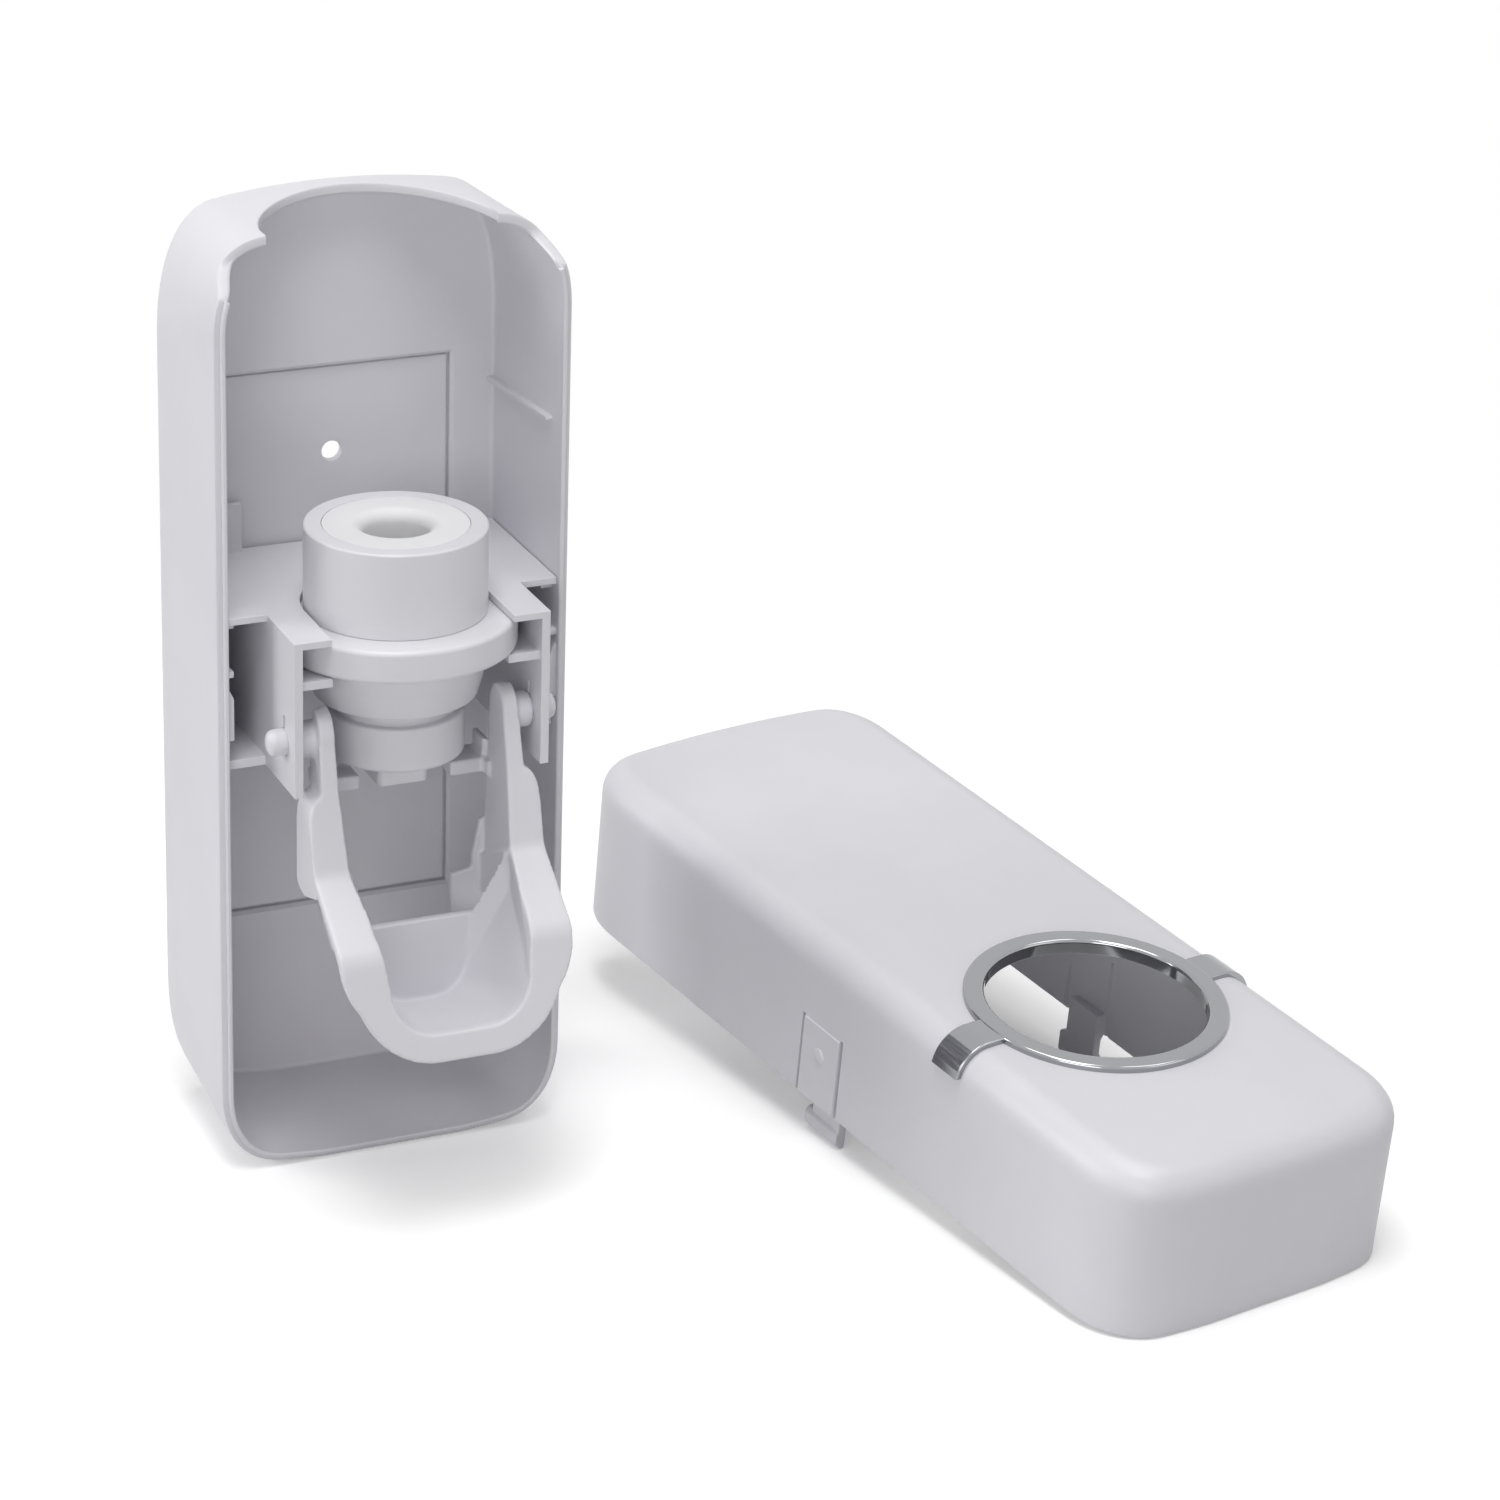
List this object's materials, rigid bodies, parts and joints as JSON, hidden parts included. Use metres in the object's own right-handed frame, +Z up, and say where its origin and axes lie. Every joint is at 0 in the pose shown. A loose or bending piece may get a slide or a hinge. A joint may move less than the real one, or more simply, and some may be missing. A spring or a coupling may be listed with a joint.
{
  "type": "toothpaste dispenser",
  "caption": "Push-in toothpaste dispenser, cover off: an upright rear case with a pump, carrier and brush lever, and its front cover with a chrome-ringed opening lying beside it.",
  "frame": {"origin": "centre of the flat land under the rear case's bowed bottom end, which it stands on", "axes": "+Z up along the rear case, +Y back into the wall, +X to the right of a user who faces the dispenser"},
  "size_m": [0.1751, 0.1716, 0.1666],
  "materials": {
    "case_plastic": "satin",
    "pump_plastic": "satin",
    "soft_seat": "matte",
    "clear_silicone": "satin",
    "dark_seal": "matte",
    "spring_steel": "satin",
    "trim_chrome": "polished",
    "pad_foam": "matte"
  },
  "bodies": {
    "rear_case": {"rear_housing": "case_plastic", "wall_plate": "case_plastic", "wall_pads": "pad_foam", "pump_carrier": "case_plastic"},
    "pump": {"pump_cap": "pump_plastic", "tube_seat": "soft_seat", "cap_gasket": "clear_silicone", "pump_body": "pump_plastic", "inlet_valve": "clear_silicone", "pump_spring": "spring_steel"},
    "plunger": {"piston": "pump_plastic", "piston_seal": "dark_seal", "pump_cup": "pump_plastic", "outlet_valve": "clear_silicone", "nozzle": "pump_plastic"},
    "lever": {"lever": "case_plastic"},
    "cover": {"front_cover": "case_plastic", "trim_ring": "trim_chrome"}
  },
  "joints": [
    {"name": "lever_swing", "type": "hinge", "parent": "rear_case", "child": "lever", "pos_m": [0, -0.025, 0.0833], "axis": [1, 0, 0], "range_deg": [0, 20]},
    {"name": "pump_slide", "type": "slide", "parent": "rear_case", "child": "pump", "axis": [0, -1, 0], "range_m": [0, 0.022]},
    {"name": "plunger_lift", "type": "slide", "parent": "pump", "child": "plunger", "axis": [0, 0, 1], "range_m": [0, 0.0033], "stiffness_N_per_m": 60, "springref_m": -0.002, "deforming": ["pump_spring"]},
    {"name": "cover_lift", "type": "slide", "parent": "rear_case", "child": "cover", "axis": [0, 0, 1], "range_m": [0, 0.1]}
  ],
  "couplings": [
    {"joint": "lever_swing", "follows": "plunger_lift", "rad_per_m": 104}
  ]
}
